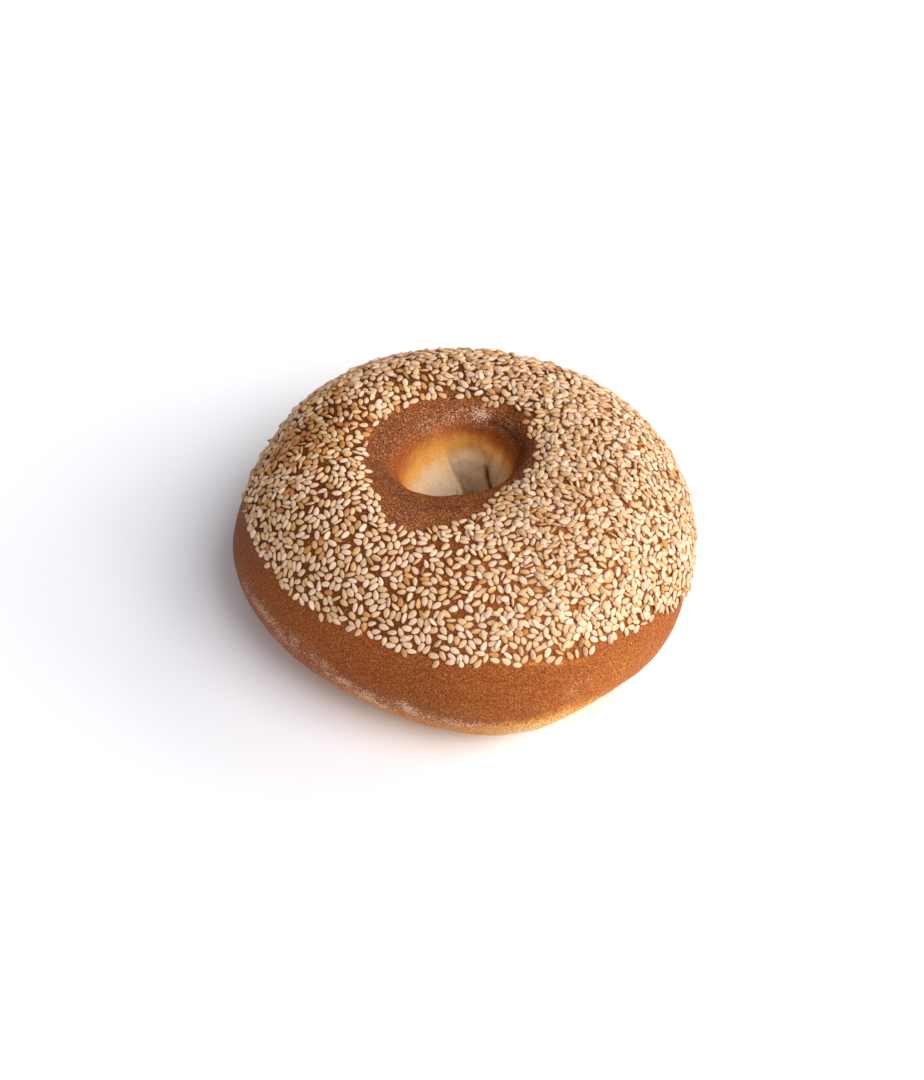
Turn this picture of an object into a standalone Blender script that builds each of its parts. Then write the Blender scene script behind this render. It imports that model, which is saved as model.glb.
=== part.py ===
"""The bread of a sesame bagel: one ring of baked dough, at its real size, without its seeds.

The ring is lofted through named lines that run round it. Seen from above each line is an
ellipse, made uneven by broad waves and by local swells. The hole lies behind the middle of
the loaf, so the ring is thicker at the front. It is a funnel with a gathered, folded wall
that goes right through, and the underside is flat where the dough rested.

Units are metres and +Z is up. -Y is the front, and angles run from +X towards +Y.
Run with: blender --background --python part.py
"""

import math
from dataclasses import dataclass

import bmesh
import bpy
from mathutils import Vector

MM = 0.001

# Driving dimensions of the loaf.
WIDTH = 131.0 * MM
DEPTH = 130.0 * MM
HEIGHT = 54.0 * MM
HOLE_WIDTH = 33.0 * MM
HOLE_DEPTH = 26.5 * MM
HOLE_CENTRE = Vector((-1.4 * MM, 8.6 * MM))

# Faces round the ring. The rows across it are the sum of the lines' rows.
SEGMENTS = 108

# Broad waves of the outline and of the hole: lobes, height of the wave, angle of a crest.
OUTLINE_WAVES = ((2, 2.1 * MM, -45.0), (3, 0.8 * MM, 45.0), (4, 1.0 * MM, 22.0))
HOLE_WAVES = ((2, 1.3 * MM, 38.0), (3, 0.5 * MM, 75.0), (5, 0.25 * MM, 20.0))
HEIGHT_WAVES = ((1, 0.6 * MM, -70.0), (2, 0.4 * MM, 20.0), (3, 0.3 * MM, -40.0))

# Folds gathered in the wall of the hole: angle, spread, and how far each stands in.
HOLE_FOLDS = (
    (25.0, 13.0, 1.3 * MM),
    (54.0, 6.5, -2.0 * MM),
    (78.0, 12.0, -1.4 * MM),
    (104.0, 6.5, 1.1 * MM),
    (150.0, 26.0, 1.0 * MM),
    (205.0, 11.0, -1.4 * MM),
    (238.0, 13.0, 1.1 * MM),
    (272.0, 9.0, -1.6 * MM),
    (304.0, 14.0, 1.2 * MM),
    (340.0, 9.0, -1.4 * MM),
)

# The knots that each blend of a Catmull-Rom curve runs between, from its points to its curve.
CURVE_BLENDS = (((0, 1), (1, 2), (2, 3)), ((0, 2), (1, 3)), ((1, 2),))

CRUST_COLOUR = (0.30, 0.09, 0.025, 1.0)
CRUST_ROUGHNESS = 0.62


@dataclass(frozen=True)
class Swell:
    """A local bulge of one line: where it is, how wide, and how far it moves out and up."""

    angle: float
    spread: float
    out: float
    up: float = 0.0


@dataclass(frozen=True)
class RingLine:
    """A closed line round the ring.

    reach is its radius, in parts of the loaf's outline for an outer line and in parts of
    the hole's outline for an inner one, and deepen stretches it from front to back. level
    is its height in parts of the loaf's, and shift moves its centre. uneven says how far it
    follows the broad waves, folds how far it follows the folds in the hole, twist how many
    degrees they have turned there, and rows how many rows of faces lead to the next line.
    """

    inner: bool
    reach: float
    level: float
    rows: int
    shift: tuple[float, float] = (0.0, 0.0)
    deepen: float = 1.0
    uneven: float = 1.0
    folds: float = 0.0
    twist: float = 0.0
    swells: tuple[Swell, ...] = ()


LEFT_CHEEK = Swell(183.0, 18.0, 1.1 * MM)
RIGHT_CHEEK = Swell(-32.0, 14.0, 0.6 * MM)
FLAT_SHOULDER = Swell(158.0, 10.0, -1.2 * MM)
FOOT_NOTCH = Swell(-55.0, 12.0, -3.3 * MM, 1.0 * MM)
FOOT_LIP = Swell(-82.0, 18.0, 1.2 * MM, -0.8 * MM)
BACK_EDGE = Swell(82.0, 38.0, -0.8 * MM, -0.7 * MM)

# From the widest part of the side, up over the crown, down the hole and out underneath.
RING_LINES = {
    "belly": RingLine(False, 1.000, 0.41, 4, (0.8 * MM, 1.0 * MM), swells=(LEFT_CHEEK, RIGHT_CHEEK)),
    "shoulder": RingLine(
        False, 0.938, 0.71, 4, (1.2 * MM, 1.2 * MM), uneven=0.95, swells=(FLAT_SHOULDER,)
    ),
    "brow": RingLine(False, 0.772, 0.925, 4, (1.2 * MM, 2.2 * MM), uneven=0.8, swells=(FLAT_SHOULDER,)),
    "crown": RingLine(False, 0.572, 1.0, 3, (0.4 * MM, 4.4 * MM), uneven=0.4),
    "crater": RingLine(False, 0.360, 0.98, 3, (-3.6 * MM, 5.8 * MM), deepen=1.17, uneven=0.2),
    "rim": RingLine(True, 1.09, 0.915, 2, (-0.2 * MM, -0.2 * MM), swells=(BACK_EDGE,)),
    "lip": RingLine(True, 0.99, 0.855, 3, folds=0.1),
    "wall": RingLine(True, 0.82, 0.70, 3, (0.4 * MM, 0.1 * MM), folds=0.55),
    "funnel": RingLine(True, 0.54, 0.50, 4, (1.2 * MM, 0.0), 1.05, 0.6, folds=0.9, twist=-14.0),
    "throat": RingLine(True, 0.39, 0.28, 3, (1.8 * MM, 0.0), 1.15, 0.4, folds=0.5, twist=-24.0),
    "lower_lip": RingLine(True, 0.57, 0.09, 2, (1.6 * MM, -1.0 * MM), 1.1, 0.5, folds=0.25, twist=-28.0),
    "rest_inside": RingLine(True, 1.05, 0.0, 2, (1.0 * MM, -3.0 * MM), 1.15, 0.3),
    "rest_middle": RingLine(False, 0.500, 0.0, 2, (1.0 * MM, 1.0 * MM), uneven=0.3),
    "rest_outside": RingLine(False, 0.710, 0.0, 2, (1.0 * MM, 0.0), uneven=0.5),
    "foot": RingLine(
        False, 0.850, 0.11, 2, (2.0 * MM, 1.0 * MM), uneven=0.85, swells=(FOOT_NOTCH, FOOT_LIP)
    ),
    "under_belly": RingLine(False, 0.962, 0.24, 2, (1.3 * MM, 1.2 * MM), swells=(FOOT_NOTCH, LEFT_CHEEK)),
}


def clear_scene() -> None:
    """Remove every object that is in the scene."""
    for obj in list(bpy.data.objects):
        bpy.data.objects.remove(obj, do_unlink=True)


def wave(angle: float, waves: tuple) -> float:
    """Return the sum of broad waves at an angle in radians."""
    return sum(size * math.cos(lobes * (angle - math.radians(crest))) for lobes, size, crest in waves)


def bump(angle: float, centre: float, spread: float) -> float:
    """Return a smooth bump of height 1 round an angle; centre and spread are in degrees."""
    away = math.remainder(angle - math.radians(centre), math.tau)
    return math.exp(-((away / math.radians(spread)) ** 2))


def fold_height(angle: float) -> float:
    """Return how far the wall of the hole stands in at an angle."""
    return sum(size * bump(angle, centre, spread) for centre, spread, size in HOLE_FOLDS)


def ring_point(line: RingLine, angle: float) -> Vector:
    """Return the point of a ring line at an angle."""
    if line.inner:
        centre, size, waves = HOLE_CENTRE, (HOLE_WIDTH, HOLE_DEPTH), HOLE_WAVES
    else:
        centre, size, waves = Vector((0.0, 0.0)), (WIDTH, DEPTH), OUTLINE_WAVES
    out = line.uneven * line.reach * wave(angle, waves)
    out -= line.folds * fold_height(angle - math.radians(line.twist))
    up = line.level * HEIGHT
    if not line.inner:
        up += line.level * wave(angle, HEIGHT_WAVES)
    for swell in line.swells:
        out += swell.out * bump(angle, swell.angle, swell.spread)
        up += swell.up * bump(angle, swell.angle, swell.spread)
    x = centre.x + line.shift[0] + (line.reach * size[0] / 2.0 + out) * math.cos(angle)
    y = centre.y + line.shift[1] + (line.reach * line.deepen * size[1] / 2.0 + out) * math.sin(angle)
    return Vector((x, y, up))


def curve_between(before: Vector, start: Vector, end: Vector, after: Vector, rows: int) -> list[Vector]:
    """Return points from start to just short of end, on a centripetal Catmull-Rom curve."""
    knots = [0.0]
    for a, b in ((before, start), (start, end), (end, after)):
        knots.append(knots[-1] + math.sqrt((b - a).length))
    points = []
    for row in range(rows):
        t = knots[1] + (knots[2] - knots[1]) * row / rows
        blend = [before, start, end, after]
        for spans in CURVE_BLENDS:
            shares = [(t - knots[low]) / (knots[high] - knots[low]) for low, high in spans]
            blend = [blend[i].lerp(blend[i + 1], share) for i, share in enumerate(shares)]
        points.append(blend[0])
    return points


def cross_section(angle: float) -> list[Vector]:
    """Return the closed section of the ring at an angle, with its underside pressed flat."""
    corners = [ring_point(line, angle) for line in RING_LINES.values()]
    count = len(corners)
    section = []
    for i, line in enumerate(RING_LINES.values()):
        around = [corners[(i + step) % count] for step in (-1, 0, 1, 2)]
        section += curve_between(*around, line.rows)
    for point in section:
        point.z = max(point.z, 0.0)
    return section


def build_ring() -> bmesh.types.BMesh:
    """Return the ring's mesh: one section for each segment, joined by rows of faces."""
    bm = bmesh.new()
    sections = []
    for segment in range(SEGMENTS):
        section = cross_section(math.tau * segment / SEGMENTS)
        sections.append([bm.verts.new(point) for point in section])
    for segment, section in enumerate(sections):
        following = sections[(segment + 1) % SEGMENTS]
        for row in range(len(section)):
            above = (row + 1) % len(section)
            bm.faces.new((section[row], following[row], following[above], section[above]))
    bmesh.ops.recalc_face_normals(bm, faces=bm.faces)
    return bm


def fit_to_size(bm: bmesh.types.BMesh) -> None:
    """Bring the ring to its driving size, with the middle of its underside at the origin."""
    for axis, size in enumerate((WIDTH, DEPTH, HEIGHT)):
        values = [vert.co[axis] for vert in bm.verts]
        low, high = min(values), max(values)
        origin = low if axis == 2 else (low + high) / 2.0
        for vert in bm.verts:
            vert.co[axis] = (vert.co[axis] - origin) * size / (high - low)


def crust_material() -> bpy.types.Material:
    """Return the plain baked crust."""
    material = bpy.data.materials.new("baked_crust")
    material.use_nodes = True
    shader = material.node_tree.nodes["Principled BSDF"]
    shader.inputs["Base Color"].default_value = CRUST_COLOUR
    shader.inputs["Roughness"].default_value = CRUST_ROUGHNESS
    return material


def main() -> None:
    """Model the bagel's bread as one object."""
    clear_scene()
    bm = build_ring()
    fit_to_size(bm)
    mesh = bpy.data.meshes.new("bagel")
    bm.to_mesh(mesh)
    bm.free()
    mesh.shade_smooth()
    mesh.materials.append(crust_material())
    bpy.context.scene.collection.objects.link(bpy.data.objects.new("bagel", mesh))


main()
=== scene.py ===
"""The looks of a sesame bagel: its baked crust, its seeds, its flour and the plain floor it lies on.

The bread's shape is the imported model's. The crust is a finer copy of it with relief and colours
of its own, and the seeds are laid on that crust one by one, the later ones leaning on the
earlier. Lengths are metres, angles are degrees, +Z is up and -Y is the front.
"""

import logging
import math
from collections.abc import Sequence
from dataclasses import dataclass, field
from enum import Enum
from itertools import product

import bmesh
import bpy
import numpy as np
from mathutils import Matrix, Vector, noise
from mathutils.bvhtree import BVHTree
from mathutils.kdtree import KDTree


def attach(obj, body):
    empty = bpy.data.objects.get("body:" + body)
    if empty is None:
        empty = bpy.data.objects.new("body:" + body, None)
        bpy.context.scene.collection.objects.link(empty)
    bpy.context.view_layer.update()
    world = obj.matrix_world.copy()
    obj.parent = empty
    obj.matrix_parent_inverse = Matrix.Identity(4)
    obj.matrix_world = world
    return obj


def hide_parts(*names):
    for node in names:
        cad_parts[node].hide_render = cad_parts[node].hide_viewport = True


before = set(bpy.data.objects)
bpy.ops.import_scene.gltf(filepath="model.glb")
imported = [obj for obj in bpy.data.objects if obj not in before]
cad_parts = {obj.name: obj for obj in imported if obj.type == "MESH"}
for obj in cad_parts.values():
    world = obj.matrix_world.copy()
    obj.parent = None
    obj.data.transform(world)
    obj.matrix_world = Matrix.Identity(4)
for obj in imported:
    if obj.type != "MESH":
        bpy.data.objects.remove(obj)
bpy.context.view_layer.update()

LOG = logging.getLogger("bagel")
MM = 0.001
BODY = "root"
BREAD_NODE = "bagel"
BAKE_MAP = "OFBake"

Array = np.ndarray
Chance = np.random.Generator
Colour = tuple[float, float, float]
# A curve is its places and its values there. Waves are lengths in millimetres, heights and offsets.
Curve = tuple[tuple[float, float], ...]
Waves = tuple[tuple[float, float, float], ...]


class Value:
    """An output socket that ordinary arithmetic can be written with."""

    def __init__(self, bench: "ShaderBench", socket: bpy.types.NodeSocket) -> None:
        """Keep the socket and the bench that its sums are built on."""
        self.bench = bench
        self.socket = socket

    def _sum(self, operation: str, first: "Number", second: "Number" = 0.0) -> "Value":
        """Return a Math node's result."""
        return self.bench.node("ShaderNodeMath", {"operation": operation}, {0: first, 1: second})

    def __add__(self, other: "Number") -> "Value":
        """Return self + other."""
        return self._sum("ADD", self, other)

    def __sub__(self, other: "Number") -> "Value":
        """Return self - other."""
        return self._sum("SUBTRACT", self, other)

    def __rsub__(self, other: "Number") -> "Value":
        """Return other - self."""
        return self._sum("SUBTRACT", other, self)

    def __mul__(self, other: "Number") -> "Value":
        """Return self * other."""
        return self._sum("MULTIPLY", self, other)

    __radd__ = __add__
    __rmul__ = __mul__

    def step(self, low: float, high: float) -> "Value":
        """Return a smooth step from 0 at low to 1 at high."""
        settings = {"interpolation_type": "SMOOTHSTEP"}
        return self.bench.node("ShaderNodeMapRange", settings, {0: self, 1: low, 2: high})


Number = Value | float


class ShaderBench:
    """Builds the nodes of one material."""

    def __init__(self, name: str) -> None:
        """Start an empty material.

        Args:
            name: The material's name.
        """
        self.material = bpy.data.materials.new(name)
        self.material.use_nodes = True
        self.tree = self.material.node_tree
        self.tree.nodes.clear()
        self.place = self.node("ShaderNodeTexCoord", output="Object")

    def node(
        self,
        kind: str,
        settings: dict[str, object] | None = None,
        sockets: dict[int | str, object] | None = None,
        output: int | str = 0,
    ) -> Value:
        """Add one node.

        Args:
            kind: The node's type.
            settings: Its settings, which are set first. "stops" are a ramp's places and colours.
            sockets: The number, colour or link of each input that is set.
            output: The output that is returned.

        Returns:
            The chosen output.
        """
        added = self.tree.nodes.new(kind)
        for name, setting in (settings or {}).items():
            if name == "stops":
                self._set_stops(added.color_ramp, setting)
            else:
                setattr(added, name, setting)
        for key, value in (sockets or {}).items():
            if isinstance(value, Value):
                self.tree.links.new(value.socket, added.inputs[key])
            else:
                added.inputs[key].default_value = value
        return Value(self, added.outputs[output])

    @staticmethod
    def _set_stops(ramp: bpy.types.ColorRamp, stops: Sequence[tuple[float, Colour]]) -> None:
        """Give a colour ramp its stops, in order from 0 to 1."""
        while len(ramp.elements) > 1:
            ramp.elements.remove(ramp.elements[-1])
        for i, (place, colour) in enumerate(stops):
            element = ramp.elements[0] if i == 0 else ramp.elements.new(place)
            element.position = place
            element.color = (*colour, 1.0)

    def grain(self, size: float, detail: float = 2.0, roughness: float = 0.5) -> Value:
        """Return noise from 0 to 1 whose patches are about as wide as size."""
        sockets = {"Vector": self.place, "Scale": 1.0 / size, "Detail": detail, "Roughness": roughness}
        return self.node("ShaderNodeTexNoise", {}, sockets)

    def cells(self, size: float) -> Value:
        """Return the distance to the nearest of scattered points that are about size apart."""
        sockets = {"Vector": self.place, "Scale": 1.0 / size}
        return self.node("ShaderNodeTexVoronoi", {}, sockets, "Distance")

    def painted(self, name: str) -> Value:
        """Return a number that the mesh carries."""
        return self.node("ShaderNodeAttribute", {"attribute_name": name}, output="Fac")

    def ramp(self, value: Number, stops: Sequence[tuple[float, Colour]]) -> Value:
        """Return the colour of a ramp at a value."""
        return self.node("ShaderNodeValToRGB", {"stops": stops}, {0: value})

    def mix(self, share: Number, low: "Tint", high: "Tint") -> Value:
        """Return the colour that lies share of the way from low to high."""
        sockets = {0: share, 6: self._tint(low), 7: self._tint(high)}
        return self.node("ShaderNodeMix", {"data_type": "RGBA"}, sockets, 2)

    def scaled(self, colour: Value, share: Number) -> Value:
        """Return a colour made lighter or darker by a factor."""
        return self.node("ShaderNodeVectorMath", {"operation": "SCALE"}, {0: colour, "Scale": share})

    @staticmethod
    def _tint(colour: "Tint") -> object:
        """Return a colour as a Mix node takes it."""
        return colour if isinstance(colour, Value) else (*colour, 1.0)

    def bump(self, height: Value, distance: float, strength: float) -> Value:
        """Return the normal of a surface with a fine relief, distance high where height is 1."""
        return self.node("ShaderNodeBump", {}, {"Height": height, "Distance": distance, "Strength": strength})

    def surface(self, **sockets: object) -> bpy.types.Material:
        """Finish the material as one Principled surface.

        Args:
            **sockets: The shader's inputs, with an underscore for each space of their names.

        Returns:
            The finished material.
        """
        named = {key.replace("_", " "): value for key, value in sockets.items()}
        shader = self.node("ShaderNodeBsdfPrincipled", {}, named)
        target = self.tree.nodes.new("ShaderNodeOutputMaterial")
        self.tree.links.new(shader.socket, target.inputs["Surface"])
        return self.material


Tint = Value | Colour


def read(items: bpy.types.bpy_prop_collection, name: str, width: int = 3, kind: type = float) -> Array:
    """Return a property of each vertex, loop or face of a mesh, as rows of width numbers."""
    values = np.empty(len(items) * width, dtype=kind)
    items.foreach_get(name, values)
    return values.reshape(-1, width)


def carry(mesh: bpy.types.Mesh, numbers: dict[str, Array]) -> None:
    """Let a mesh carry a number at each vertex, under each of the names."""
    for name, values in numbers.items():
        mesh.attributes.new(name, "FLOAT", "POINT").data.foreach_set("value", values)


def lay_flat(mesh: bpy.types.Mesh, places: Array) -> None:
    """Give a mesh its flat map: the place of each corner of each face."""
    mesh.uv_layers.new(name=BAKE_MAP).data.foreach_set("uv", places.ravel())


def put(name: str, data: bpy.types.ID) -> bpy.types.Object:
    """Put an object with this mesh, lamp or camera in the scene."""
    added = bpy.data.objects.new(name, data)
    bpy.context.scene.collection.objects.link(added)
    return added


def polar(points: Array, middle: tuple[float, float] = (0.0, 0.0)) -> tuple[Array, Array]:
    """Return the angles in radians and the radii in metres of points, seen from above.

    Args:
        points: An array of points.
        middle: The pole, in millimetres.
    """
    x = points[:, 0] - middle[0] * MM
    y = points[:, 1] - middle[1] * MM
    return np.arctan2(y, x), np.hypot(x, y)


def ease(values: Array, low: float, high: float) -> Array:
    """Return a smooth step from 0 at low to 1 at high; low may be the larger."""
    share = np.clip((values - low) / (high - low), 0.0, 1.0)
    return share * share * (3.0 - 2.0 * share)


def bell(values: Array, width: Array | float) -> Array:
    """Return 1 where values are 0, falling off over about a width to each side."""
    return np.exp(-((values / width) ** 2))


def follow(curve: Curve, values: Array) -> Array:
    """Return what a curve says at each value."""
    return np.interp(values, *zip(*curve))


def ripple(points: Array, size: float, offset: float = 0.0) -> Array:
    """Return noise from about -1 to 1 at each point, with waves about size metres long."""
    shift = Vector((offset, 2.0 * offset, 3.0 * offset))
    return np.array([noise.noise(Vector(point) / size + shift) for point in points.tolist()])


def rippled(points: Array, waves: Waves) -> Array:
    """Return the sum of several ripples at each point."""
    return sum(tall * ripple(points, size * MM, offset) for size, tall, offset in waves)


def unit(vectors: Array) -> Array:
    """Return vectors brought to length 1."""
    return vectors / np.linalg.norm(vectors, axis=1)[:, None]


@dataclass(frozen=True)
class Arc:
    """A smooth swelling of a line that runs round the ring: where, how wide, how large."""

    angle: float
    spread: float
    size: float

    def at(self, angles: Array) -> Array:
        """Return the swelling at angles in radians."""
        away = np.angle(np.exp(1j * (angles - math.radians(self.angle))))
        return self.size * bell(away, math.radians(self.spread))


# An arc of a band comes in between two heights, in millimetres.
Bands = tuple[tuple[Arc, float, float], ...]


def swell(arcs: Sequence[Arc], angles: Array) -> Array:
    """Return the sum of arcs at angles in radians."""
    return sum(arc.at(angles) for arc in arcs)


def banded(bands: Bands, angles: Array, height: Array) -> Array:
    """Return the sum of the bands' arcs at angles in radians and heights in millimetres."""
    return sum(arc.at(angles) * ease(height, low, high) for arc, low, high in bands)


@dataclass(frozen=True)
class Patch:
    """A soft round patch of the bread: its middle, its reach and its strength."""

    middle: tuple[float, float, float]
    reach: float
    strength: float = 1.0

    def at(self, points: Array) -> Array:
        """Return how much of the patch is felt at each point, from 0 to its strength."""
        away = np.linalg.norm(points - np.array(self.middle) * MM, axis=1)
        return self.strength * bell(away, self.reach * MM)


def patched(patches: Sequence[Patch], points: Array) -> Array:
    """Return the sum of patches at each point."""
    return sum(patch.at(points) for patch in patches)


@dataclass(frozen=True)
class Crease:
    """A fine fold line that runs round the side of the bread.

    It is at its middle's height there and rises by slope millimetres a degree.
    """

    middle: float
    spread: float
    level: float
    slope: float
    depth: float
    width: float
    waver: Waves = ((9.0, 0.5, 61.0),)
    least_radius: tuple[float, float] = (38.0 * MM, 44.0 * MM)

    def at(self, points: Array) -> Array:
        """Return how much of the line is felt at each point, from 0 to 1."""
        theta, radius = polar(points)
        line = self.level + self.slope * (np.degrees(theta) - self.middle) + rippled(points, self.waver)
        across = bell(points[:, 2] / MM - line, self.width)
        return Arc(self.middle, self.spread, 1.0).at(theta) * across * ease(radius, *self.least_radius)


@dataclass(frozen=True)
class SeedCover:
    """Which part of the crust the seeds cover, and how thickly they lie."""

    crater_middle: tuple[float, float] = (-4.0, 5.5)
    crater_radius: float = 24.4
    crater_arcs: tuple[Arc, ...] = (
        Arc(-114, 21, 8.3),
        Arc(-42, 19, -6.2),
        Arc(42, 12, 2.2),
        Arc(12, 14, 0.9),
        Arc(88, 4, 4.2),
        Arc(176, 18, -1.6),
    )
    edge_level: float = 38.3
    edge_arcs: tuple[Arc, ...] = (
        Arc(5, 32, -25),
        Arc(98, 50, -12),
        Arc(158, 17, -6),
        Arc(-84, 12, 1),
    )
    bare: tuple[Patch, ...] = (
        Patch((-5.6, -31, 53), 4.2, 1),
        Patch((1.2, -29.6, 53), 2.6, 0.9),
        Patch((-36, -9, 52), 3, 0.6),
        Patch((-33, 20, 51), 3, 0.5),
        Patch((-42, 17, 50), 4, 0.6),
        Patch((-46, 24, 47), 7, 0.6),
        Patch((38, -33, 46), 3.2, 0.6),
        Patch((9, 40, 50), 2.4, 0.5),
    )
    rough: Waves = ((5.0, 1.1, 21.0), (2.0, 0.7, 23.0))
    thinned: float = 0.85
    heap_right: tuple[float, float] = (-34.0, 26.0)
    heap_back: tuple[float, float] = (26.0, 46.0)

    def clear(self, points: Array) -> Array:
        """Return how far each point lies outside the bare crater round the hole, in millimetres."""
        angles, radius = polar(points, self.crater_middle)
        return radius / MM - self.crater_radius - swell(self.crater_arcs, angles)

    def inset(self, points: Array) -> Array:
        """Return how far each point lies inside the seeded part, in millimetres."""
        edge = self.edge_level + swell(self.edge_arcs, polar(points)[0])
        return np.minimum(self.clear(points), points[:, 2] / MM - edge) + rippled(points, self.rough)

    def density(self, points: Array) -> Array:
        """Return the chance that a seed which falls on each point stays, from 0 to 1."""
        kept = ease(self.inset(points), -0.4, 0.5)
        kept *= 1.0 - np.clip(patched(self.bare, points), 0.0, 1.0)
        thin = ease(ripple(points, 3.4 * MM, 27.0), 0.22, 0.55) * ease(points[:, 0], 40.0 * MM, 0.0)
        return kept * (1.0 - self.thinned * thin)

    def heaping(self, points: Array) -> Array:
        """Return how thickly the seeds are heaped, from 0, a single layer, to 1."""
        x, y = points[:, 0] / MM, points[:, 1] / MM
        heap = np.maximum(ease(x + 0.25 * y, *self.heap_right), 0.85 * ease(y, *self.heap_back))
        heap = heap + 0.25 * ripple(points, 9.0 * MM, 31.0)
        return np.clip(heap, 0.0, 1.0) * ease(self.inset(points), 0.5, 5.0)


@dataclass(frozen=True)
class WallFold:
    """The fold gathered in the hole's back wall: a crest, and right of it a pocket with a slit.

    The crest's curve says its angle at each height. The relief, in millimetres, and the painted shade are
    curves of the degrees to the left of it.
    """

    axis: tuple[float, float] = (0.2, 8.2)
    crest: Curve = ((25, 84), (28.4, 91.5), (31.3, 101.5), (34.9, 109.5), (37.2, 112.5), (41, 117))
    waver: Waves = ((6.0, 1.5, 71.0),)
    slit: float = -54.0
    slit_width: float = 7.0
    slit_painted_shade: float = 0.60
    profile: Curve = (
        (-110, 0), (-85, 0.3), (-66, 0.9), (-58, 0.5), (-50, -0.7), (-40, -0.9), (-24, -1.1),
        (-11, -1), (-5, -0.3), (0, 0.7), (4, 0.9), (11, 0.6), (22, 0.2), (40, 0),
    )
    # Painted shade across the pocket, by degrees to the left of the crest.
    shade: Curve = (
        (-118, 0), (-100, 0.52), (-66, 0.68), (-54, 0.86), (-40, 0.68), (-27, 0.80),
        (-14, 1.06), (-4, 1), (1, 0.52), (5, 0.22), (12, 0.08), (24, 0),
    )

    def away(self, points: Array) -> Array:
        """Return how many degrees to the left of the crest each point lies."""
        angles, _ = polar(points, self.axis)
        crest = follow(self.crest, points[:, 2] / MM) + rippled(points, self.waver)
        return np.remainder(np.degrees(angles) - crest + 180.0, 360.0) - 180.0

    def felt(self, points: Array) -> Array:
        """Return 1 on the wall, fading to 0 at the lip and far down."""
        _, radius = polar(points, self.axis)
        height = points[:, 2] / MM
        return ease(height, 44.0, 37.5) * ease(height, 12.0, 22.0) * ease(radius, 24.0 * MM, 19.0 * MM)

    def relief(self, points: Array) -> Array:
        """Return how far the wall stands into the hole, in millimetres."""
        return self.felt(points) * follow(self.profile, self.away(points))

    def dark(self, points: Array) -> Array:
        """Return the painted shade that dims the wall in the pocket and the slit, where shadow falls in the
        fold.
        """
        away, felt, height = self.away(points), self.felt(points), points[:, 2] / MM
        # Painted shade: the slit and the pocket darken where shadow falls in the fold.
        slit = bell(away - self.slit, self.slit_width) * ease(height, 38.5, 31.5) * felt
        height = height - 4.0 * ease(away, -46.0, -78.0)
        pocket = ease(height, 44.5, 37.0) * felt**0.3 * (0.58 + 0.34 * ease(height, 37.0, 34.0))
        return pocket * follow(self.shade, away) + self.slit_painted_shade * slit


@dataclass(frozen=True)
class LipLine:
    """A dark line round the lip of the hole: its height, its width and where it is strong."""

    level: float
    width: float
    strength: Arc
    least: float = 0.0
    rise: Arc = Arc(0, 1, 0)

    def at(self, angles: Array, height: Array) -> Array:
        """Return how dark the line is at angles in radians and heights in millimetres."""
        across = bell(height - self.level - self.rise.at(angles), self.width)
        return across * (self.least + self.strength.at(angles))


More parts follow.
